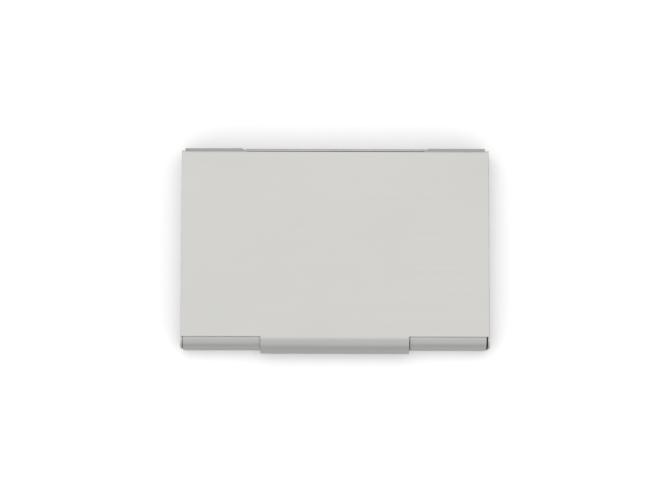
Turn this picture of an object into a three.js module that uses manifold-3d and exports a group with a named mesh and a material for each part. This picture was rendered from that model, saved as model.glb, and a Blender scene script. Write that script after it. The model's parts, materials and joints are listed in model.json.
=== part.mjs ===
// Business card case: a tray and a lid, each folded from one thin aluminium sheet, joined along the
// rear edge by rolled knuckles that turn on a steel pin in plastic cores.
// Millimetres. +X runs along the hinge, +Y towards the opening edge, +Z up.
// The origin is at the middle of the underside.

import * as THREE from 'three';
import { mergeVertices } from 'three/addons/utils/BufferGeometryUtils.js';
import Module from 'manifold-3d';

const wasm = await Module();
wasm.setup();

// ---------------------------------------------------------------- driving dimensions

const CASE_WIDTH = 95;
const CASE_DEPTH = 63.5;
const CASE_HEIGHT = 10;
const SHEET = 0.5;

const LID_KNUCKLE_RADIUS = CASE_HEIGHT / 2; // its roll fills the full height of the case
const LID_KNUCKLE_LENGTH = 45.7;
const LID_KNUCKLE_WRAP = 320; // degrees of roll
const LID_WIDTH = 94.7;
const LID_SIDE_PLAY = 0.4; // room along the pin between the lid's knuckle and the tray's
const LID_SHIFT = -0.1; // the lid sits to one side within that play

const TRAY_KNUCKLE_RADIUS = 3.75;
const TRAY_KNUCKLE_WRAP = 310;
const TRAY_REAR_BEND = 1.5; // outer radius of the fold from the floor into the rear wall

const SIDE_WALL_TOP = 9; // height of the tray's side walls
const FRONT_WALL_TOP = 8.7; // the front wall is a little lower, clear of the folds of the lid's tabs
const HEM_TOP = 9; // between the tabs the wall's edge is folded over outwards into a smooth hem
const HEM_RADIUS = 0.275; // along the middle of the sheet
const HEM_FLAP = 1.4; // straight length of the folded edge
const HEM_END_X = 27.9; // just under the slanting end of each tab
const HEM_RELIEF = 0.3; // notch between each end of the hem and the plain edge beyond
const HEM_RELIEF_TOP = 6.5;
const FOLD = 1; // outer radius of the folds along the floor
const FLOOR_NOTCH = 3; // how far the floor is cut back in front of the axis, clear of the lid's knuckle

const TAB_GAP = 0.25; // from the front wall to the inside of the tabs
const TAB_FOLD = 1.65;
const TAB_DROP = 5; // height of a tab, from the lid's top
const TAB_SIDE_INSET = 1; // from the lid's side edge to the tab
const TAB_ROOT_X = 27.5; // inner end of a tab where it leaves the lid
const TAB_TIP_X = 28.7; // and at its outer face

const SIDE_SLIT_LEFT = 0.15; // between a side wall and the end of the tray's knuckle
const SIDE_SLIT_RIGHT = 0.5; // wider, to take the flange of the core
const SIDE_REAR_INSET = 0.3; // the side wall stops this far inside the knuckle's rear
const SIDE_REAR_ROUND = 2.2;
const SIDE_FRONT_ROUND = 0.8;
const SIDE_RELIEF = 4.2; // the side fold stops this far in front of the axis
const CORNER_RELIEF = 1.15; // square cut from each front corner of the floor
const CORNER_SLIT = 0.25; // between the front wall's ends and the side walls

const PIN_RADIUS = 1;
const PIN_RUNNING_GAP = 0.05;
const PIN_CHAMFER = 0.2;
const CORE_GAP = 0.05; // between a core and the roll around it
const CORE_RECESS = 0.25; // a core stops this far inside the end of its roll
const FLANGE = 0.4;

const ROLL_STEP = 8; // degrees of arc for one flat of a roll or fold
const ROUND_SEGMENTS = 48; // flats round a pin or core

// ---------------------------------------------------------------- places that follow from them

const FRONT = CASE_DEPTH / 2; // outer face of the tabs
const HINGE_Y = LID_KNUCKLE_RADIUS - CASE_DEPTH / 2;
const HINGE_Z = CASE_HEIGHT - LID_KNUCKLE_RADIUS;
const WALL_FRONT = FRONT - SHEET - TAB_GAP; // outer face of the front wall
const LID_FRONT = WALL_FRONT - SHEET; // the lid's straight front edge, level with the wall's inside
const SIDE_OUTER = CASE_WIDTH / 2;
const SIDE_INNER = SIDE_OUTER - SHEET;
const TRAY_KNUCKLE_INNER_X = (LID_KNUCKLE_LENGTH + LID_SIDE_PLAY) / 2;
const LEFT_KNUCKLE_END = SIDE_INNER - SIDE_SLIT_LEFT;
const RIGHT_KNUCKLE_END = SIDE_INNER - SIDE_SLIT_RIGHT;
const HALF_SHEET = SHEET / 2;

// ---------------------------------------------------------------- solids

/** A closed three.js geometry as a solid that can be joined and cut. */
function toSolid(geometry) {
  geometry.deleteAttribute('normal');
  geometry.deleteAttribute('uv');
  const merged = mergeVertices(geometry);
  return new wasm.Manifold(new wasm.Mesh({
    numProp: 3,
    vertProperties: Float32Array.from(merged.attributes.position.array),
    triVerts: Uint32Array.from(merged.index.array),
  }));
}

/** The solid's surface as a three.js geometry. */
function toGeometry(solid) {
  const mesh = solid.getMesh();
  const geometry = new THREE.BufferGeometry();
  geometry.setAttribute('position', new THREE.BufferAttribute(mesh.vertProperties, 3));
  geometry.setIndex(new THREE.BufferAttribute(mesh.triVerts, 1));
  geometry.computeVertexNormals();
  return geometry;
}

/** All the solids joined into one. */
function join(solids) {
  return solids.reduce((whole, solid) => whole.add(solid));
}

/** Extrudes a section drawn in (Y, Z) along X, between two places in either order. */
function alongX(section, xA, xB) {
  const geometry = new THREE.ExtrudeGeometry(section, {
    depth: Math.abs(xB - xA),
    bevelEnabled: false,
    curveSegments: ROUND_SEGMENTS / 4,
  });
  const toYZX = new THREE.Matrix4().makeBasis(
    new THREE.Vector3(0, 1, 0),
    new THREE.Vector3(0, 0, 1),
    new THREE.Vector3(1, 0, 0),
  );
  return geometry.applyMatrix4(toYZX).translate(Math.min(xA, xB), 0, 0);
}

/** Extrudes a section drawn in (X, Z) along Y, between two places. */
function alongY(section, yLow, yHigh) {
  const geometry = new THREE.ExtrudeGeometry(section, { depth: yHigh - yLow, bevelEnabled: false });
  const toXZ = new THREE.Matrix4().makeBasis(
    new THREE.Vector3(1, 0, 0),
    new THREE.Vector3(0, 0, 1),
    new THREE.Vector3(0, -1, 0),
  );
  return geometry.applyMatrix4(toXZ).translate(0, yHigh, 0);
}

/** A box between two corners. */
function boxBetween(low, high) {
  const size = new THREE.Vector3().subVectors(high, low);
  const middle = new THREE.Vector3().addVectors(low, high).multiplyScalar(1 / 2);
  return new THREE.BoxGeometry(size.x, size.y, size.z).translate(middle.x, middle.y, middle.z);
}

/**
 * Section of a folded sheet. A point walks along the middle of the sheet from a start and a heading
 * in degrees. A run is a straight length. A fold turns by an angle, positive to the left, about a
 * centre one mid-sheet radius away. The outline is the walk, offset by half a sheet to each side.
 */
function sheetSection(start, headingDegrees, moves) {
  const point = start.clone();
  const left = [];
  const right = [];
  let heading = THREE.MathUtils.degToRad(headingDegrees);

  const mark = () => {
    const across = new THREE.Vector2(-Math.sin(heading), Math.cos(heading)).multiplyScalar(HALF_SHEET);
    left.push(point.clone().add(across));
    right.unshift(point.clone().sub(across));
  };

  mark();
  for (const { run = 0, turn = 0, radius = 0 } of moves) {
    if (run > 0) {
      point.add(new THREE.Vector2(Math.cos(heading), Math.sin(heading)).multiplyScalar(run));
      mark();
    }
    const steps = Math.ceil(Math.abs(turn) / ROLL_STEP);
    const angle = THREE.MathUtils.degToRad(turn);
    const side = Math.sign(turn);
    const toCentre = new THREE.Vector2(-Math.sin(heading), Math.cos(heading)).multiplyScalar(side * radius);
    const centre = point.clone().add(toCentre);
    for (let step = 0; step < steps; step += 1) {
      point.rotateAround(centre, angle / steps);
      heading += angle / steps;
      mark();
    }
  }
  return new THREE.Shape([...left, ...right]);
}

/** Mid-sheet radius of a fold whose outer face has the given radius. */
function midRadius(outerRadius) {
  return outerRadius - HALF_SHEET;
}

// ---------------------------------------------------------------- tray

/** One rear end of the tray: floor, rear wall and the knuckle rolled from the wall's top. */
function trayEnd(side) {
  const floorStart = HINGE_Y + FLOOR_NOTCH + FOLD;
  const floorEnd = HINGE_Y - TRAY_KNUCKLE_RADIUS + TRAY_REAR_BEND;
  const section = sheetSection(new THREE.Vector2(floorStart, HALF_SHEET), 180, [
    { run: floorStart - floorEnd, turn: -90, radius: midRadius(TRAY_REAR_BEND) },
    { run: HINGE_Z - TRAY_REAR_BEND, turn: -TRAY_KNUCKLE_WRAP, radius: midRadius(TRAY_KNUCKLE_RADIUS) },
  ]);
  const outerEnd = side > 0 ? RIGHT_KNUCKLE_END : LEFT_KNUCKLE_END;
  return toSolid(alongX(section, side * TRAY_KNUCKLE_INNER_X, side * outerEnd));
}

/** The fold at the foot of the front wall and the floor, which is cut back clear of the lid's knuckle. */
function footAndFloor(wallBottom) {
  return [
    { run: wallBottom - FOLD, turn: -90, radius: midRadius(FOLD) },
    { run: WALL_FRONT - FOLD - (HINGE_Y + FLOOR_NOTCH) },
  ];
}

/** A span of the front wall and floor, with the wall's edge left plain at the given height. */
function traySpan(xA, xB, wallTop) {
  const start = new THREE.Vector2(WALL_FRONT - HALF_SHEET, wallTop);
  return toSolid(alongX(sheetSection(start, -90, footAndFloor(wallTop)), xA, xB));
}

/** The span between the tabs, with the wall's edge folded over into a hem. */
function trayHemSpan(half) {
  const bendStart = HEM_TOP - HEM_RADIUS - HALF_SHEET;
  const start = new THREE.Vector2(WALL_FRONT - HALF_SHEET + 2 * HEM_RADIUS, bendStart - HEM_FLAP);
  const section = sheetSection(start, 90, [
    { run: HEM_FLAP, turn: 180, radius: HEM_RADIUS },
    ...footAndFloor(bendStart),
  ]);
  return toSolid(alongX(section, -half, half));
}

/** The fold that joins a side wall to the floor. */
function sideFold(side) {
  const start = new THREE.Vector2(side * TRAY_KNUCKLE_INNER_X, HALF_SHEET);
  const section = sheetSection(start, side > 0 ? 0 : 180, [
    { run: SIDE_OUTER - FOLD - TRAY_KNUCKLE_INNER_X, turn: side * 90, radius: midRadius(FOLD) },
    { run: SIDE_WALL_TOP - FOLD },
  ]);
  return toSolid(alongY(section, HINGE_Y + SIDE_RELIEF, WALL_FRONT - CORNER_RELIEF));
}

/** The flat of a side wall, which runs past the end of the knuckle and is rounded at its rear. */
function sideWall(side) {
  const rear = HINGE_Y - TRAY_KNUCKLE_RADIUS + SIDE_REAR_INSET;
  const front = WALL_FRONT;
  const foot = FOLD;
  const outline = new THREE.Shape();
  outline.moveTo(front, foot + SIDE_FRONT_ROUND);
  outline.lineTo(front, SIDE_WALL_TOP);
  outline.lineTo(rear + SIDE_REAR_ROUND, SIDE_WALL_TOP);
  outline.absarc(rear + SIDE_REAR_ROUND, SIDE_WALL_TOP - SIDE_REAR_ROUND, SIDE_REAR_ROUND, Math.PI / 2, Math.PI);
  outline.lineTo(rear, foot + SIDE_REAR_ROUND);
  outline.absarc(rear + SIDE_REAR_ROUND, foot + SIDE_REAR_ROUND, SIDE_REAR_ROUND, Math.PI, Math.PI * 3 / 2);
  outline.lineTo(front - SIDE_FRONT_ROUND, foot);
  outline.absarc(front - SIDE_FRONT_ROUND, foot + SIDE_FRONT_ROUND, SIDE_FRONT_ROUND, -Math.PI / 2, 0);
  return toSolid(alongX(outline, side * SIDE_INNER, side * SIDE_OUTER));
}

/** The square cut at a front corner of the floor, where two folds would meet. */
function cornerRelief(side) {
  const inner = new THREE.Vector3(SIDE_OUTER - CORNER_RELIEF, WALL_FRONT - CORNER_RELIEF, -FOLD);
  const outer = new THREE.Vector3(SIDE_OUTER + FOLD, WALL_FRONT + FOLD, FOLD);
  const low = new THREE.Vector3(side > 0 ? inner.x : -outer.x, inner.y, inner.z);
  const high = new THREE.Vector3(side > 0 ? outer.x : -inner.x, outer.y, outer.z);
  return toSolid(boxBetween(low, high));
}

function trayGeometry() {
  const sides = [-1, 1];
  const plainStart = HEM_END_X + HEM_RELIEF;
  const reach = SIDE_INNER - CORNER_SLIT;
  const sheet = join([
    trayHemSpan(HEM_END_X),
    ...sides.map((side) => traySpan(side * HEM_END_X, side * plainStart, HEM_RELIEF_TOP)),
    ...sides.map((side) => traySpan(side * plainStart, side * reach, FRONT_WALL_TOP)),
    ...sides.map(trayEnd),
    ...sides.map(sideFold),
  ]);
  const relieved = sides.map(cornerRelief).reduce((solid, cut) => solid.subtract(cut), sheet);
  return toGeometry(join([relieved, ...sides.map(sideWall)]));
}

// ---------------------------------------------------------------- lid, drawn about the hinge axis

const LID_TOP = CASE_HEIGHT - HINGE_Z;
const LID_MID = LID_TOP - HALF_SHEET;
const LID_FRONT_REACH = LID_FRONT - HINGE_Y;
const TAB_FACE = FRONT - HINGE_Y;

/**
 * The flat panel, whose rear edges lie straight above the hinge axis. Its free front edges stand a
 * little in front of the line where the tabs fold.
 */
function lidPanel() {
  const half = LID_WIDTH / 2;
  const slab = (xLow, xHigh, front) => toSolid(boxBetween(
    new THREE.Vector3(LID_SHIFT + xLow, 0, LID_TOP - SHEET),
    new THREE.Vector3(LID_SHIFT + xHigh, front, LID_TOP),
  ));
  return join([
    slab(-half, half, TAB_FACE - TAB_FOLD),
    slab(-half, TAB_SIDE_INSET - half, LID_FRONT_REACH),
    slab(-TAB_ROOT_X, TAB_ROOT_X, LID_FRONT_REACH),
    slab(half - TAB_SIDE_INSET, half, LID_FRONT_REACH),
  ]);
}

/** The middle of the lid's sheet, running back into the roll that turns about the pin. */
function lidKnuckle() {
  const start = new THREE.Vector2(LID_FRONT_REACH, LID_MID);
  const section = sheetSection(start, 180, [
    { run: LID_FRONT_REACH, turn: LID_KNUCKLE_WRAP, radius: midRadius(LID_KNUCKLE_RADIUS) },
  ]);
  const half = LID_KNUCKLE_LENGTH / 2;
  return toSolid(alongX(section, LID_SHIFT - half, LID_SHIFT + half));
}

/** A tab folded down over the front wall. Its inner end slants away as it leaves the lid. */
function lidTab(side) {
  const start = new THREE.Vector2(TAB_FACE - TAB_FOLD - FOLD, LID_MID);
  const section = sheetSection(start, 0, [
    { run: FOLD, turn: -90, radius: midRadius(TAB_FOLD) },
    { run: TAB_DROP - TAB_FOLD },
  ]);
  const outerEnd = LID_WIDTH / 2 - TAB_SIDE_INSET;
  const folded = toSolid(alongX(section, LID_SHIFT + side * TAB_ROOT_X, LID_SHIFT + side * outerEnd));

  const slant = new THREE.Shape([
    new THREE.Vector2(LID_SHIFT + side * (TAB_ROOT_X - FOLD), LID_FRONT_REACH),
    new THREE.Vector2(LID_SHIFT + side * TAB_ROOT_X, LID_FRONT_REACH),
    new THREE.Vector2(LID_SHIFT + side * TAB_TIP_X, TAB_FACE),
    new THREE.Vector2(LID_SHIFT + side * TAB_TIP_X, TAB_FACE + FOLD),
    new THREE.Vector2(LID_SHIFT + side * (TAB_ROOT_X - FOLD), TAB_FACE + FOLD),
  ]);
  const cutter = new THREE.ExtrudeGeometry(slant, { depth: CASE_HEIGHT, bevelEnabled: false });
  return folded.subtract(toSolid(cutter.translate(0, 0, -HINGE_Z)));
}

function lidGeometry() {
  return toGeometry(join([lidPanel(), lidKnuckle(), lidTab(-1), lidTab(1)]));
}

// ---------------------------------------------------------------- pin and cores

/** A turned piece lying along X: its profile is a list of [radius, place along X]. */
function turned(profile) {
  const points = profile.map(([radius, x]) => new THREE.Vector2(radius, -x));
  return new THREE.LatheGeometry(points.reverse(), ROUND_SEGMENTS).rotateZ(Math.PI / 2);
}

function pinGeometry() {
  const end = RIGHT_KNUCKLE_END - CORE_RECESS;
  return turned([
    [0, -end],
    [PIN_RADIUS - PIN_CHAMFER, -end],
    [PIN_RADIUS, -end + PIN_CHAMFER],
    [PIN_RADIUS, end - PIN_CHAMFER],
    [PIN_RADIUS - PIN_CHAMFER, end],
    [0, end],
  ]);
}

/** A plain core: a tube with a running bore for the pin. */
function coreGeometry(rollRadius, xLow, xHigh) {
  const bore = PIN_RADIUS + PIN_RUNNING_GAP;
  const outside = rollRadius - SHEET - CORE_GAP;
  return turned([[bore, xLow], [outside, xLow], [outside, xHigh], [bore, xHigh], [bore, xLow]]);
}

/** The right-hand core, whose flange fills the slit between the knuckle and the side wall. */
function flangedCoreGeometry(xLow) {
  const bore = PIN_RADIUS + PIN_RUNNING_GAP;
  const outside = TRAY_KNUCKLE_RADIUS - SHEET - CORE_GAP;
  const seat = RIGHT_KNUCKLE_END + (SIDE_SLIT_RIGHT - FLANGE) / 2;
  return turned([
    [bore, xLow],
    [outside, xLow],
    [outside, seat],
    [TRAY_KNUCKLE_RADIUS, seat],
    [TRAY_KNUCKLE_RADIUS, seat + FLANGE],
    [bore, seat + FLANGE],
    [bore, xLow],
  ]);
}

// ---------------------------------------------------------------- assembly

const anodised = { color: 0xcfcdc8, roughness: 0.45, metalness: 0.9 };
const blackPlastic = { color: 0x161616, roughness: 0.55, metalness: 0 };
const steel = { color: 0xb8babc, roughness: 0.3, metalness: 1 };

function piece(name, geometry, finish) {
  const mesh = new THREE.Mesh(geometry, new THREE.MeshStandardMaterial(finish));
  mesh.name = name;
  return mesh;
}

const coreInner = TRAY_KNUCKLE_INNER_X + CORE_RECESS;
const coreOuter = LEFT_KNUCKLE_END - CORE_RECESS;
const lidCoreHalf = LID_KNUCKLE_LENGTH / 2 - CORE_RECESS;

// Everything that lies on the hinge axis, and the lid that turns about it.
const hinge = new THREE.Group();
hinge.position.set(0, HINGE_Y, HINGE_Z);
hinge.add(piece('hinge_pin', pinGeometry(), steel));
hinge.add(piece('end_core_left', coreGeometry(TRAY_KNUCKLE_RADIUS, -coreOuter, -coreInner), blackPlastic));
hinge.add(piece('end_core_right', flangedCoreGeometry(coreInner), blackPlastic));

const lid = new THREE.Group();
lid.add(piece('lid', lidGeometry(), anodised));
const lidCore = coreGeometry(LID_KNUCKLE_RADIUS, LID_SHIFT - lidCoreHalf, LID_SHIFT + lidCoreHalf);
lid.add(piece('lid_core', lidCore, blackPlastic));
hinge.add(lid);

const cardCase = new THREE.Group();
cardCase.add(piece('base_tray', trayGeometry(), anodised));
cardCase.add(hinge);

export default cardCase;
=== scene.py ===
"""A closed business card case folded from satin anodised aluminium sheet, seen almost straight down."""
import json
import math

import bpy
import numpy as np
from mathutils import Matrix, Vector


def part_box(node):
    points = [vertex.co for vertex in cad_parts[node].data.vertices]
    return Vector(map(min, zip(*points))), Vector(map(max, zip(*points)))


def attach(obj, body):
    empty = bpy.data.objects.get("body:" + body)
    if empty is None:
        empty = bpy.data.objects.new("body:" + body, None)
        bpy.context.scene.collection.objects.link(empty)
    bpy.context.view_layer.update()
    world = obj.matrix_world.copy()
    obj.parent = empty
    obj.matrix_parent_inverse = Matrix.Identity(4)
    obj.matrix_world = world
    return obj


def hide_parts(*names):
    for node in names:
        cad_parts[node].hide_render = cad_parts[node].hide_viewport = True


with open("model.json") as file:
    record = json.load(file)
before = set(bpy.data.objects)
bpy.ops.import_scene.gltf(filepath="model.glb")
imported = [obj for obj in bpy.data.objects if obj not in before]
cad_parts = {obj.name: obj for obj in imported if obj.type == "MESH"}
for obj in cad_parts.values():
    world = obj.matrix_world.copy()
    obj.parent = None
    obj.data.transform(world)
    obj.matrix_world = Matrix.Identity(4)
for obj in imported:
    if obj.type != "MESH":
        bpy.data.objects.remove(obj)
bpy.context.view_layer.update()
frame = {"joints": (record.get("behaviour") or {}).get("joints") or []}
mm = 0.001

# ------------------------------------------------------------------ camera
# A long lens nearly overhead, tipped a few degrees towards the hinge, so that the case keeps almost
# square corners and the knuckles still show their rear faces.

CAMERA_DISTANCE = 0.65
CAMERA_TIP = math.radians(6.43)  # towards the hinge
CAMERA_ROLL = math.radians(0.15)
CAMERA_LENS = 117.0
CAMERA_AIM = Vector((-0.00316, -0.0001, 0.010))


def add_camera():
    towards_camera = Vector((0.0, -math.sin(CAMERA_TIP), math.cos(CAMERA_TIP)))
    right = Vector((0.0, 1.0, 0.0)).cross(towards_camera).normalized()
    turn = Matrix((right, towards_camera.cross(right), towards_camera)).transposed().to_4x4()
    data = bpy.data.cameras.new("camera")
    data.lens = CAMERA_LENS
    data.clip_start = 0.01
    camera = bpy.data.objects.new("camera", data)
    place = Matrix.Translation(CAMERA_AIM + towards_camera * CAMERA_DISTANCE)
    camera.matrix_world = place @ turn @ Matrix.Rotation(CAMERA_ROLL, 4, "Z")
    bpy.context.scene.collection.objects.link(camera)
    bpy.context.scene.camera = camera


add_camera()

# ------------------------------------------------------------------ floor and light
# A white sweep under a wide soft ceiling, with smaller soft boxes above, low in front, behind and at
# both rear corners, in a pale grey room. The satin metal mirrors the bright ceiling where it lies
# flat and the dimmer room where it turns away. The low case leaves a narrow soft shadow all round.

FLOOR_SIZE = 6.0
FLOOR_WHITE = (0.83, 0.83, 0.83, 1.0)
FLOOR_ROUGHNESS = 0.9
ROOM_GREY = (0.685, 0.687, 0.703, 1.0)
WARM_WHITE = (1.0, 0.992, 0.965)
COOL_WHITE = (0.955, 0.962, 1.0)
SOFT_BOXES = {  # place, the point it faces, width, depth, watts, colour
    "ceiling": ((0.0, 0.0, 1.6), (0.0, 0.0, 0.0), 3.2, 3.2, 17.0, WARM_WHITE),
    "above": ((-0.12, 0.28, 1.5), (-0.12, 0.28, 0.0), 1.6, 1.05, 5.0, WARM_WHITE),
    "above_left": ((-0.35, 0.5, 1.5), (-0.35, 0.5, 0.0), 0.8, 0.6, 2.3, WARM_WHITE),
    "front": ((0.0, 1.3, 0.3), (0.0, 0.0, 0.0), 1.6, 0.4, 1.5, WARM_WHITE),
    "rear": ((0.0, -1.15, 0.75), (0.0, 0.0, 0.0), 1.3, 0.9, 2.0, COOL_WHITE),
    "rear_left": ((-0.95, -0.75, 0.70), (0.0, 0.0, 0.0), 0.7, 0.7, 2.0, COOL_WHITE),
    "rear_right": ((0.95, -0.75, 0.70), (0.0, 0.0, 0.0), 0.7, 0.7, 2.0, COOL_WHITE),
}


def add_floor():
    data = bpy.data.meshes.new("floor")
    half = FLOOR_SIZE / 2
    corners = [(-half, -half, 0), (half, -half, 0), (half, half, 0), (-half, half, 0)]
    data.from_pydata(corners, [], [(0, 1, 2, 3)])
    material = bpy.data.materials.new("white_sweep")
    material.use_nodes = True
    shader = material.node_tree.nodes["Principled BSDF"]
    shader.inputs["Base Color"].default_value = FLOOR_WHITE
    shader.inputs["Roughness"].default_value = FLOOR_ROUGHNESS
    shader.inputs["Specular IOR Level"].default_value = 0.0
    data.materials.append(material)
    floor = bpy.data.objects.new("floor", data)
    bpy.context.scene.collection.objects.link(floor)


def add_light():
    for name, (place, aim, width, depth, watts, colour) in SOFT_BOXES.items():
        data = bpy.data.lights.new(name, "AREA")
        data.shape = "RECTANGLE"
        data.size = width
        data.size_y = depth
        data.energy = watts
        data.color = colour
        box = bpy.data.objects.new(name, data)
        box.location = place
        box.rotation_euler = (Vector(aim) - Vector(place)).to_track_quat("-Z", "Y").to_euler()
        bpy.context.scene.collection.objects.link(box)
    world = bpy.data.worlds.new("room")
    world.use_nodes = True
    world.node_tree.nodes["Background"].inputs["Color"].default_value = ROOM_GREY
    bpy.context.scene.world = world
    bpy.context.scene.view_settings.view_transform = "Standard"


add_floor()
add_light()

# ------------------------------------------------------------------ tray
# One blank of 0.5 mm aluminium, cut with its slits and reliefs, then folded: front and side walls
# straight up, the front wall's edge turned out into a hem between the lid's tabs, and each end of
# the rear edge rolled into a hinge knuckle. It is etched to a satin grain and clear anodised.

SHEET = 0.5 * mm
MID = SHEET / 2
CUT_EDGE_ROUND = 0.075 * mm  # the most; the modifier allows far less beside the tightest bends
CUT_EDGE_STEPS = 3
CUT_EDGE_ANGLE = math.radians(50)
HAIR = 0.001 * mm  # grid points this close to a cut line lie on it
GRID_DIGITS = 7  # grid lines are kept to a tenth of a micron

hinge_y, hinge_z = frame["joints"][0]["pos_m"][1:]
tray_low, tray_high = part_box("base_tray")

TRAY_FOLD = 1.0 * mm - MID  # mid-sheet radii
TRAY_REAR_FOLD = 1.5 * mm - MID
TRAY_KNUCKLE = (hinge_y - tray_low.y) - MID
TRAY_WRAP = math.radians(310)
KNUCKLE_INNER = 23.05 * mm
KNUCKLE_END_LEFT = 46.85 * mm
KNUCKLE_END_RIGHT = 46.5 * mm
HEM_FOLD = 0.275 * mm  # along the middle of the sheet
HEM_FLAP = 1.4 * mm
HEM_END = 27.9 * mm
HEM_RELIEF = 0.3 * mm
HEM_RELIEF_TOP = 6.5 * mm
HEM_DROP = 0.3 * mm  # from the top of the hem to the plain edge under the tabs
WALL_FRONT = tray_high.y - 2 * HEM_FOLD
CORNER_SLIT = 0.25 * mm  # between the ends of the front wall and the side walls
FRONT_WALL_REACH = tray_high.x - SHEET - CORNER_SLIT
FRONT_WALL_TOP = tray_high.z - HEM_DROP
NOTCH = hinge_y + 3.0 * mm  # the floor is cut back to here, clear of the lid's knuckle
STRIP_START = hinge_y + 4.0 * mm  # behind this the floor's ends are strips that roll into knuckles
SIDE_RELIEF = hinge_y + 4.2 * mm  # the side folds start here
CORNER_RELIEF = 1.15 * mm
SIDE_REAR = tray_low.y + 0.3 * mm
SIDE_REAR_ROUND = 2.2 * mm
SIDE_FRONT_ROUND = 0.8 * mm
REAR_CORNER_STEPS = 5
SMALL_CORNER_STEPS = 3
ARC_STEP = math.radians(4)


def walk(distance, moves):
    """Where a folded strip has got to, as (forward, up), that far along its middle. Each move is a
    length and a curvature. A straight adds its length along the heading. An arc of curvature k adds
    the change in sine of the heading over k forward, and the change in cosine over k up."""
    forward, up, heading = 0.0, 0.0, 0.0
    for length, curve in moves:
        part = np.clip(distance, 0.0, length)
        distance = distance - length
        if curve == 0.0:
            forward = forward + part * math.cos(heading)
            up = up + part * math.sin(heading)
        else:
            forward = forward + (np.sin(heading + curve * part) - math.sin(heading)) / curve
            up = up + (math.cos(heading) - np.cos(heading + curve * part)) / curve
        heading += curve * length
    return forward, up


def stations(moves, straight_steps=1):
    """Distances along a folded strip at which the sheet is divided: every few degrees of arc."""
    marks, start = [0.0], 0.0
    for length, curve in moves:
        steps = max(straight_steps, math.ceil(abs(curve) * length / ARC_STEP))
        marks.extend(start + length * np.arange(1, steps + 1) / steps)
        start += length
    return np.array(marks)


def arc(radius, angle):
    """The move that bends a strip by an angle at a mid-sheet radius."""
    return (radius * angle, 1.0 / radius)


def run_length(moves):
    """The whole length of a folded strip along its middle."""
    return sum(length for length, curve in moves)


def corner_marks(radius, steps):
    """Distances across a rounded corner at which it is divided, for equal steps of its angle."""
    return radius * (1 - np.sin(np.linspace(0.0, math.pi / 2, steps + 1)))


def grid_lines(cuts, *shaping):
    """The lines of a grid in order: every line along which the sheet is cut, and those that only shape
    a curve wherever they stand clear of the cuts by more than CUT_EDGE_ROUND."""
    cuts = np.unique(np.round(cuts, GRID_DIGITS))
    shaping = np.concatenate(shaping)
    clear = np.abs(shaping[:, np.newaxis] - cuts).min(axis=1) > CUT_EDGE_ROUND
    return np.unique(np.round(np.concatenate([cuts, shaping[clear]]), GRID_DIGITS))


def sheet_metal(name, u_lines, v_lines, kept, place, materials):
    """A folded sheet: a grid over the flat blank, its cells kept where kept(u, v) of their middles is
    true, every corner carried by place(u, v) to where folding puts it. Solidify gives the gauge, half
    to each side, and Bevel breaks the cut edges as far as its own limit lets it."""
    u, v = np.meshgrid(u_lines, v_lines, indexing="ij")
    middle_u = (u[1:, 1:] + u[:-1, :-1]) / 2
    middle_v = (v[1:, 1:] + v[:-1, :-1]) / 2
    index = np.arange(u.size).reshape(u.shape)
    quads = np.stack([index[:-1, :-1], index[1:, :-1], index[1:, 1:], index[:-1, 1:]], axis=-1)
    quads = quads[kept(middle_u, middle_v)]
    used, quads = np.unique(quads, return_inverse=True)
    points = place(u.ravel()[used], v.ravel()[used])

    data = bpy.data.meshes.new(name)
    data.from_pydata(points.tolist(), [], quads.reshape(-1, 4).tolist())
    for material in materials:
        data.materials.append(material)
    data.polygons.foreach_set("use_smooth", np.ones(len(data.polygons), bool))
    piece = bpy.data.objects.new(name, data)
    bpy.context.scene.collection.objects.link(piece)

    gauge = piece.modifiers.new("gauge", "SOLIDIFY")
    gauge.thickness = SHEET
    gauge.offset = 0.0
    gauge.use_even_offset = True
    gauge.use_quality_normals = True
    gauge.material_offset_rim = 1
    edges = piece.modifiers.new("cut_edges", "BEVEL")
    edges.width = CUT_EDGE_ROUND
    edges.segments = CUT_EDGE_STEPS
    edges.limit_method = "ANGLE"
    edges.angle_limit = CUT_EDGE_ANGLE
    edges.harden_normals = True
    return piece


GLANCING_TINT = (0.85, 0.85, 0.84, 1.0)
ETCH_SCALE = 3800.0
ETCH_DEPTH = 0.02 * mm
ETCH_ROUGHNESS = 0.03  # either way
ROLLING_SCALE = 900.0
ROLLING_STRETCH = (0.02, 1.0, 1.0)  # the marks run along X
DRIFT_SCALE = 35.0


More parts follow.
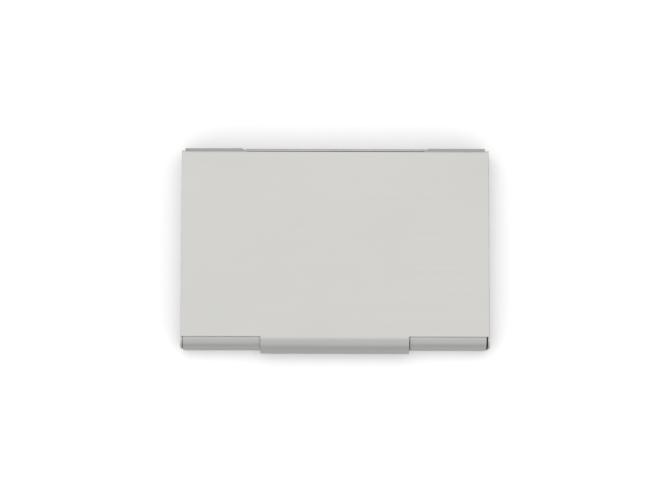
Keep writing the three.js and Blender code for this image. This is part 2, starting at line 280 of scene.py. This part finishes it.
def satin_aluminium(name, colour, roughness, grain):
    """Etched and clear anodised aluminium. Very fine grain roughens and dimples it, faint rolling
    marks run along the sheet, and a slow drift of tone keeps it from being dead even."""
    material = bpy.data.materials.new(name)
    material.use_nodes = True
    nodes, links = material.node_tree.nodes, material.node_tree.links
    shader = nodes["Principled BSDF"]
    shader.inputs["Metallic"].default_value = 1.0
    shader.inputs["Specular Tint"].default_value = GLANCING_TINT
    place = nodes.new("ShaderNodeTexCoord")

    def noise(scale, detail, stretch=(1.0, 1.0, 1.0)):
        mapping = nodes.new("ShaderNodeMapping")
        mapping.inputs["Scale"].default_value = stretch
        texture = nodes.new("ShaderNodeTexNoise")
        texture.inputs["Scale"].default_value = scale
        texture.inputs["Detail"].default_value = detail
        links.new(place.outputs["Object"], mapping.inputs["Vector"])
        links.new(mapping.outputs["Vector"], texture.inputs["Vector"])
        return texture.outputs["Fac"]

    def ranged(value, low, high):
        span = nodes.new("ShaderNodeMapRange")
        span.inputs["From Min"].default_value = 0.25
        span.inputs["From Max"].default_value = 0.75
        span.inputs["To Min"].default_value = low
        span.inputs["To Max"].default_value = high
        links.new(value, span.inputs["Value"])
        return span.outputs["Result"]

    etch = noise(ETCH_SCALE, 2.0)
    rolling = noise(ROLLING_SCALE, 3.0, stretch=ROLLING_STRETCH)
    drift = noise(DRIFT_SCALE, 3.0)

    tone = nodes.new("ShaderNodeMath")
    tone.operation = "MULTIPLY"
    links.new(ranged(drift, 0.985, 1.01), tone.inputs[0])
    links.new(ranged(rolling, 0.99, 1.01), tone.inputs[1])
    tint = nodes.new("ShaderNodeMix")
    tint.data_type = "RGBA"
    tint.blend_type = "MULTIPLY"
    tint.inputs["Factor"].default_value = 1.0
    tint.inputs["A"].default_value = (*colour, 1.0)
    links.new(tone.outputs[0], tint.inputs["B"])
    links.new(tint.outputs["Result"], shader.inputs["Base Color"])

    uneven = ranged(etch, roughness - ETCH_ROUGHNESS, roughness + ETCH_ROUGHNESS)
    links.new(uneven, shader.inputs["Roughness"])

    bump = nodes.new("ShaderNodeBump")
    bump.inputs["Strength"].default_value = grain
    bump.inputs["Distance"].default_value = ETCH_DEPTH
    links.new(etch, bump.inputs["Height"])
    links.new(bump.outputs["Normal"], shader.inputs["Normal"])
    return material


anodised = satin_aluminium("anodised_sheet", (0.360, 0.3575, 0.348), roughness=0.40, grain=0.25)
tray_cut_edge = satin_aluminium("tray_cut_edge", (0.36, 0.36, 0.35), roughness=0.40, grain=0.15)


def side_wall_limits(height):
    """How far back and forward the side wall runs at a height: straight up its ends, and drawn in
    by a quarter circle at each rounded corner."""
    foot, top = TRAY_FOLD + MID, tray_high.z

    def corner(radius, gap):
        short = np.clip(radius - gap, 0.0, radius)
        return radius - np.sqrt(radius**2 - short**2)

    rear = SIDE_REAR + corner(SIDE_REAR_ROUND, height - foot) + corner(SIDE_REAR_ROUND, top - height)
    front = WALL_FRONT - corner(SIDE_FRONT_ROUND, height - foot)
    return rear, front


def tray():
    side_start = tray_high.x - TRAY_FOLD - MID
    front_start = WALL_FRONT - TRAY_FOLD - MID
    rear_start = tray_low.y + TRAY_REAR_FOLD + MID
    relief_u = tray_high.x - CORNER_RELIEF
    relief_v = WALL_FRONT - CORNER_RELIEF
    wall_height = tray_high.z - TRAY_FOLD - MID
    wall_moves = [arc(TRAY_FOLD, math.pi / 2), (wall_height, 0.0)]
    front_fold = arc(TRAY_FOLD, math.pi / 2)
    plain_moves = [front_fold, (FRONT_WALL_TOP - TRAY_FOLD - MID, 0.0)]
    hem_moves = [
        front_fold,
        (tray_high.z - MID - HEM_FOLD - TRAY_FOLD - MID, 0.0),
        (HEM_FOLD * math.pi, -1.0 / HEM_FOLD),
        (HEM_FLAP, 0.0),
    ]
    plain_end_v = front_start + run_length(plain_moves)
    hem_end_v = front_start + run_length(hem_moves)
    relief_end_v = front_start + front_fold[0] + HEM_RELIEF_TOP - TRAY_FOLD - MID
    rear_moves = [
        arc(TRAY_REAR_FOLD, math.pi / 2),
        (hinge_z - TRAY_REAR_FOLD - MID, 0.0),
        arc(TRAY_KNUCKLE, TRAY_WRAP),
    ]
    rear_end_v = rear_start - run_length(rear_moves)
    foot_u = side_start + TRAY_FOLD * math.pi / 2
    top_u = foot_u + wall_height
    fold_end_v = front_start + TRAY_FOLD * math.pi / 2

    rear_corner = corner_marks(SIDE_REAR_ROUND, REAR_CORNER_STEPS)
    front_corner = corner_marks(SIDE_FRONT_ROUND, SMALL_CORNER_STEPS)
    half = grid_lines(
        [
            0.0, KNUCKLE_INNER, HEM_END, HEM_END + HEM_RELIEF, relief_u, KNUCKLE_END_RIGHT,
            KNUCKLE_END_LEFT, FRONT_WALL_REACH, side_start, foot_u, top_u,
        ],
        side_start + stations(wall_moves), foot_u + rear_corner, top_u - rear_corner,
        foot_u + front_corner,
    )
    u_lines = np.unique(np.concatenate([-half, half]))
    v_lines = grid_lines(
        [
            rear_end_v, rear_start, SIDE_REAR, NOTCH, STRIP_START, SIDE_RELIEF, relief_v, front_start,
            WALL_FRONT, fold_end_v, relief_end_v, plain_end_v, hem_end_v,
        ],
        rear_start - stations(rear_moves), front_start + stations(plain_moves),
        front_start + stations(hem_moves),
    )

    def kept(u, v):
        across = np.abs(u)
        knuckle_end = np.where(u < 0.0, KNUCKLE_END_LEFT, KNUCKLE_END_RIGHT)
        floor = (across < side_start) & (v > rear_start) & (v < front_start)
        floor &= ~((across < KNUCKLE_INNER) & (v < NOTCH))
        floor &= ~((across > knuckle_end) & (v < SIDE_RELIEF))
        floor &= ~((across > relief_u) & (v > relief_v))
        front_end_v = np.where(across < HEM_END + HEM_RELIEF, relief_end_v, plain_end_v)
        front = (across < FRONT_WALL_REACH) & (v > front_start)
        front &= (across < HEM_END) | (v < front_end_v)
        front &= ~((across > relief_u) & (v < fold_end_v))
        knuckles = (across > KNUCKLE_INNER) & (across < knuckle_end) & (v < STRIP_START)
        folds = (across > side_start) & (v > SIDE_RELIEF) & (v < relief_v)
        sides = (across > foot_u) & (v > SIDE_REAR) & (v < WALL_FRONT)
        return floor | front | knuckles | folds | sides

    def place(u, v):
        across = np.abs(u)
        reach = FRONT_WALL_REACH + HAIR
        in_front_wall = (v > relief_v - HAIR) & (across < reach)
        in_strip = (v < STRIP_START + HAIR) & (across < KNUCKLE_END_LEFT + HAIR)
        flat = in_front_wall | in_strip
        out, up_side = walk(np.where(flat, 0.0, across - side_start), wall_moves)
        x = np.sign(u) * (np.where(flat, across, np.minimum(across, side_start)) + out)

        hemmed = across < HEM_END + HAIR
        forward_plain, up_plain = walk(v - front_start, plain_moves)
        forward_hem, up_hem = walk(v - front_start, hem_moves)
        forward = np.where(hemmed, forward_hem, forward_plain)
        up_front = np.where(hemmed, up_hem, up_plain)
        back, up_rear = walk(rear_start - v, rear_moves)
        y = np.clip(v, rear_start, front_start) + forward - back
        z = MID + up_front + up_rear

        in_side = (across > reach) & ~in_strip
        height = MID + up_side
        rear, front = side_wall_limits(height)
        behind = (SIDE_RELIEF - v) / (SIDE_RELIEF - SIDE_REAR)
        ahead = (v - relief_v) / (WALL_FRONT - relief_v)
        y_side = np.where(v < SIDE_RELIEF, SIDE_RELIEF + behind * (rear - SIDE_RELIEF), v)
        y_side = np.where(v > relief_v, relief_v + ahead * (front - relief_v), y_side)
        y = np.where(in_side, y_side, y)
        z = np.where(in_side, height, z + up_side)
        return np.stack([x, y, z], axis=-1)

    return sheet_metal("tray", u_lines, v_lines, kept, place, [anodised, tray_cut_edge])


tray_piece = tray()
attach(tray_piece, "tray")
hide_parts("base_tray")

# ------------------------------------------------------------------ lid
# A second blank of the same sheet: a flat panel, two short tabs folded down over the front wall,
# and at the middle of its rear edge a tongue rolled under into the lid's own hinge knuckle.

lid_low, lid_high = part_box("lid")
LID_MIDDLE = (lid_low.x + lid_high.x) / 2
LID_HALF = (lid_high.x - lid_low.x) / 2
LID_FRONT = WALL_FRONT - SHEET
LID_REAR = hinge_y
LID_KNUCKLE = (hinge_z - lid_low.z) - MID
LID_KNUCKLE_HALF = 22.85 * mm
LID_WRAP = math.radians(320)
TAB_FOLD = 1.65 * mm - MID
TAB_DROP = 5.0 * mm
TAB_ROOT = 27.5 * mm
TAB_SLANT = 1.2 * mm
TAB_SIDE_INSET = 1.0 * mm
TAB_OUTER = LID_HALF - TAB_SIDE_INSET
TAB_CORNER = 0.6 * mm
TAB_DIVISIONS = 8

# The lid's cut edges are painted lighter than the sheet and than the tray's cut edges of the same
# sheet. This is a painted highlight for the thin light lines along them, where they catch the light.
lid_cut_edge_painted_highlight = satin_aluminium("lid_cut_edge_painted_highlight", (0.48, 0.48, 0.47), roughness=0.36, grain=0.15)


def lid():
    tab_start = lid_high.y - TAB_FOLD - MID
    tab_moves = [arc(TAB_FOLD, math.pi / 2), (TAB_DROP - TAB_FOLD - MID, 0.0)]
    tab_end = tab_start + run_length(tab_moves)
    roll_moves = [arc(LID_KNUCKLE, LID_WRAP)]
    roll_end = hinge_y - run_length(roll_moves)
    tip_rounding = corner_marks(TAB_CORNER, SMALL_CORNER_STEPS)
    half = grid_lines(
        [0.0, LID_KNUCKLE_HALF, TAB_ROOT, TAB_OUTER, LID_HALF],
        np.linspace(TAB_ROOT, TAB_OUTER, TAB_DIVISIONS + 1),
    )
    u_lines = np.unique(np.concatenate([-half, half]))
    v_lines = grid_lines(
        [roll_end, LID_REAR, LID_FRONT, tab_end],
        hinge_y - stations(roll_moves), tab_start + stations(tab_moves), tab_end - tip_rounding,
    )

    def kept(u, v):
        across = np.abs(u)
        panel = (v > LID_REAR) & (v < LID_FRONT)
        tongue = (across < LID_KNUCKLE_HALF) & (v < LID_FRONT)
        tabs = (across > TAB_ROOT) & (across < TAB_OUTER) & (v > LID_FRONT)
        return panel | tongue | tabs

    def place(u, v):
        across = np.abs(u)
        short = np.clip(TAB_CORNER - (tab_end - v), 0.0, TAB_CORNER)
        corner = TAB_CORNER - np.sqrt(TAB_CORNER**2 - short**2)
        beyond = np.clip(v - LID_FRONT, 0.0, None)
        inner = TAB_ROOT + np.minimum(beyond, TAB_SLANT) + corner
        outer = TAB_OUTER - corner
        share = (across - TAB_ROOT) / (TAB_OUTER - TAB_ROOT)
        across = np.where(v > LID_FRONT + HAIR, inner + share * (outer - inner), across)

        in_tab = (np.abs(u) > TAB_ROOT - HAIR) & (np.abs(u) < TAB_OUTER + HAIR)
        out, down_front = walk(np.where(in_tab, v - tab_start, 0.0), tab_moves)
        in_tongue = np.abs(u) < LID_KNUCKLE_HALF + HAIR
        back, down_rear = walk(np.where(in_tongue, hinge_y - v, 0.0), roll_moves)
        x = LID_MIDDLE + np.sign(u) * across
        y = np.where(in_tongue, np.maximum(v, hinge_y), v)
        y = np.where(in_tab, np.minimum(y, tab_start), y) + out - back
        z = lid_high.z - MID - down_front - down_rear
        return np.stack([x, y, z], axis=-1)

    return sheet_metal("lid_sheet", u_lines, v_lines, kept, place, [anodised, lid_cut_edge_painted_highlight])


lid_piece = lid()
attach(lid_piece, "lid")
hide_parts("lid")

# ------------------------------------------------------------------ hinge cores
# Moulded black acetal cores fill the three knuckles and carry the pin. The right one has a thin black
# flange between the end of its knuckle and the side wall. It is painted shade: a dark piece that stands
# for the deep shadow in that narrow gap. The lid's grips the pin.

TURNED_STEPS = 128
TURNED_EDGE_STEPS = 3
TURNED_EDGE_ANGLE = math.radians(40)
CORE_BORE = 1.05 * mm
CORE_EDGE_ROUND = 0.12 * mm
FLANGE = 0.4 * mm


def turned(name, profile, material, edge_round, bored=True):
    """A piece turned about the hinge axis: a profile of (radius, place along X) carried round a full
    circle, each point to (x, radius times cosine, radius times sine). The profile of a bored piece
    closes on itself, and a solid one is closed by a flat disc at each end."""
    rim = np.array(profile)
    angle = np.linspace(0.0, 2 * math.pi, TURNED_STEPS, endpoint=False)
    count = len(rim)
    x = np.broadcast_to(rim[:, 1], (TURNED_STEPS, count))
    y = hinge_y + np.outer(np.cos(angle), rim[:, 0])
    z = hinge_z + np.outer(np.sin(angle), rim[:, 0])
    points = np.stack([x, y, z], axis=-1).reshape(-1, 3)
    index = np.arange(TURNED_STEPS * count).reshape(TURNED_STEPS, count)
    ahead = np.roll(index, -1, axis=0)
    quads = np.stack([index, ahead, np.roll(ahead, -1, axis=1), np.roll(index, -1, axis=1)], axis=-1)
    if bored:
        faces = quads.reshape(-1, 4).tolist()
    else:
        discs = [index[::-1, 0].tolist(), index[:, -1].tolist()]
        faces = quads[:, :-1].reshape(-1, 4).tolist() + discs
    data = bpy.data.meshes.new(name)
    data.from_pydata(points.tolist(), [], faces)
    data.materials.append(material)
    data.polygons.foreach_set("use_smooth", np.ones(len(data.polygons), bool))
    piece = bpy.data.objects.new(name, data)
    bpy.context.scene.collection.objects.link(piece)
    edges = piece.modifiers.new("edges", "BEVEL")
    edges.width = edge_round
    edges.segments = TURNED_EDGE_STEPS
    edges.limit_method = "ANGLE"
    edges.angle_limit = TURNED_EDGE_ANGLE
    edges.harden_normals = True
    return piece


def moulded_black_and_gap_shade():
    """Black acetal: a deep neutral black, half matt, with the faint orange-peel of a mould. On the
    right core's flange this black is painted shade, standing for the deep shadow in the gap between the
    knuckle's end and the side wall.
    """
    material = bpy.data.materials.new("moulded_black_and_gap_shade")
    material.use_nodes = True
    nodes, links = material.node_tree.nodes, material.node_tree.links
    shader = nodes["Principled BSDF"]
    shader.inputs["Base Color"].default_value = (0.012, 0.012, 0.013, 1.0)
    place = nodes.new("ShaderNodeTexCoord")
    peel = nodes.new("ShaderNodeTexNoise")
    peel.inputs["Scale"].default_value = 1800.0
    peel.inputs["Detail"].default_value = 3.0
    links.new(place.outputs["Object"], peel.inputs["Vector"])
    span = nodes.new("ShaderNodeMapRange")
    span.inputs["To Min"].default_value = 0.42
    span.inputs["To Max"].default_value = 0.62
    links.new(peel.outputs["Fac"], span.inputs["Value"])
    links.new(span.outputs["Result"], shader.inputs["Roughness"])
    bump = nodes.new("ShaderNodeBump")
    bump.inputs["Strength"].default_value = 0.3
    bump.inputs["Distance"].default_value = 0.02 * mm
    links.new(peel.outputs["Fac"], bump.inputs["Height"])
    links.new(bump.outputs["Normal"], shader.inputs["Normal"])
    return material


def tube_profile(node):
    """A plain tube's profile, from the length and radius of its CAD node."""
    low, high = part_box(node)
    outside = (high.z - low.z) / 2
    return [(CORE_BORE, low.x), (outside, low.x), (outside, high.x), (CORE_BORE, high.x)]


def flanged_profile(node, body_radius):
    """A flanged tube's profile. The flange is the last stretch of the node at its right-hand end."""
    low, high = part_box(node)
    flange_radius = (high.z - low.z) / 2
    seat = high.x - FLANGE
    return [
        (CORE_BORE, low.x), (body_radius, low.x), (body_radius, seat),
        (flange_radius, seat), (flange_radius, high.x), (CORE_BORE, high.x),
    ]


core_black_and_gap_shade = moulded_black_and_gap_shade()
left_low, left_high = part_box("end_core_left")
cores = {
    "end_core_left": ("tray", tube_profile("end_core_left")),
    # The right core's black flange is painted shade. It fills the gap at the end of the right knuckle,
    # where the deep shadow lies.
    "end_core_right": ("tray", flanged_profile("end_core_right", (left_high.z - left_low.z) / 2)),
    "lid_core": ("lid", tube_profile("lid_core")),
}
for node, (body, profile) in cores.items():
    core = turned(node + "_moulding", profile, core_black_and_gap_shade, CORE_EDGE_ROUND)
    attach(core, body)
    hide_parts(node)

# ------------------------------------------------------------------ hinge pin
# A length of drawn stainless wire, 2 mm thick, cut off and chamfered at both ends. It runs through
# all three cores, and stops just inside the outer ends of the tray's knuckles.


def drawn_steel():
    """Drawn wire: long fine scratches along its length over a bright grey."""
    material = bpy.data.materials.new("drawn_steel")
    material.use_nodes = True
    nodes, links = material.node_tree.nodes, material.node_tree.links
    shader = nodes["Principled BSDF"]
    shader.inputs["Base Color"].default_value = (0.62, 0.62, 0.63, 1.0)
    shader.inputs["Metallic"].default_value = 1.0
    place = nodes.new("ShaderNodeTexCoord")
    along = nodes.new("ShaderNodeMapping")
    along.inputs["Scale"].default_value = (0.02, 1.0, 1.0)
    lines = nodes.new("ShaderNodeTexNoise")
    lines.inputs["Scale"].default_value = 6000.0
    links.new(place.outputs["Object"], along.inputs["Vector"])
    links.new(along.outputs["Vector"], lines.inputs["Vector"])
    span = nodes.new("ShaderNodeMapRange")
    span.inputs["To Min"].default_value = 0.2
    span.inputs["To Max"].default_value = 0.4
    links.new(lines.outputs["Fac"], span.inputs["Value"])
    links.new(span.outputs["Result"], shader.inputs["Roughness"])
    return material


pin_low, pin_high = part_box("hinge_pin")
PIN_RADIUS = (pin_high.z - pin_low.z) / 2
PIN_CHAMFER = 0.2 * mm
PIN_EDGE_ROUND = 0.05 * mm
pin_profile = [
    (PIN_RADIUS - PIN_CHAMFER, pin_low.x), (PIN_RADIUS, pin_low.x + PIN_CHAMFER),
    (PIN_RADIUS, pin_high.x - PIN_CHAMFER), (PIN_RADIUS - PIN_CHAMFER, pin_high.x),
]
pin = turned("pin_wire", pin_profile, drawn_steel(), PIN_EDGE_ROUND, bored=False)
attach(pin, "tray")
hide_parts("hinge_pin")
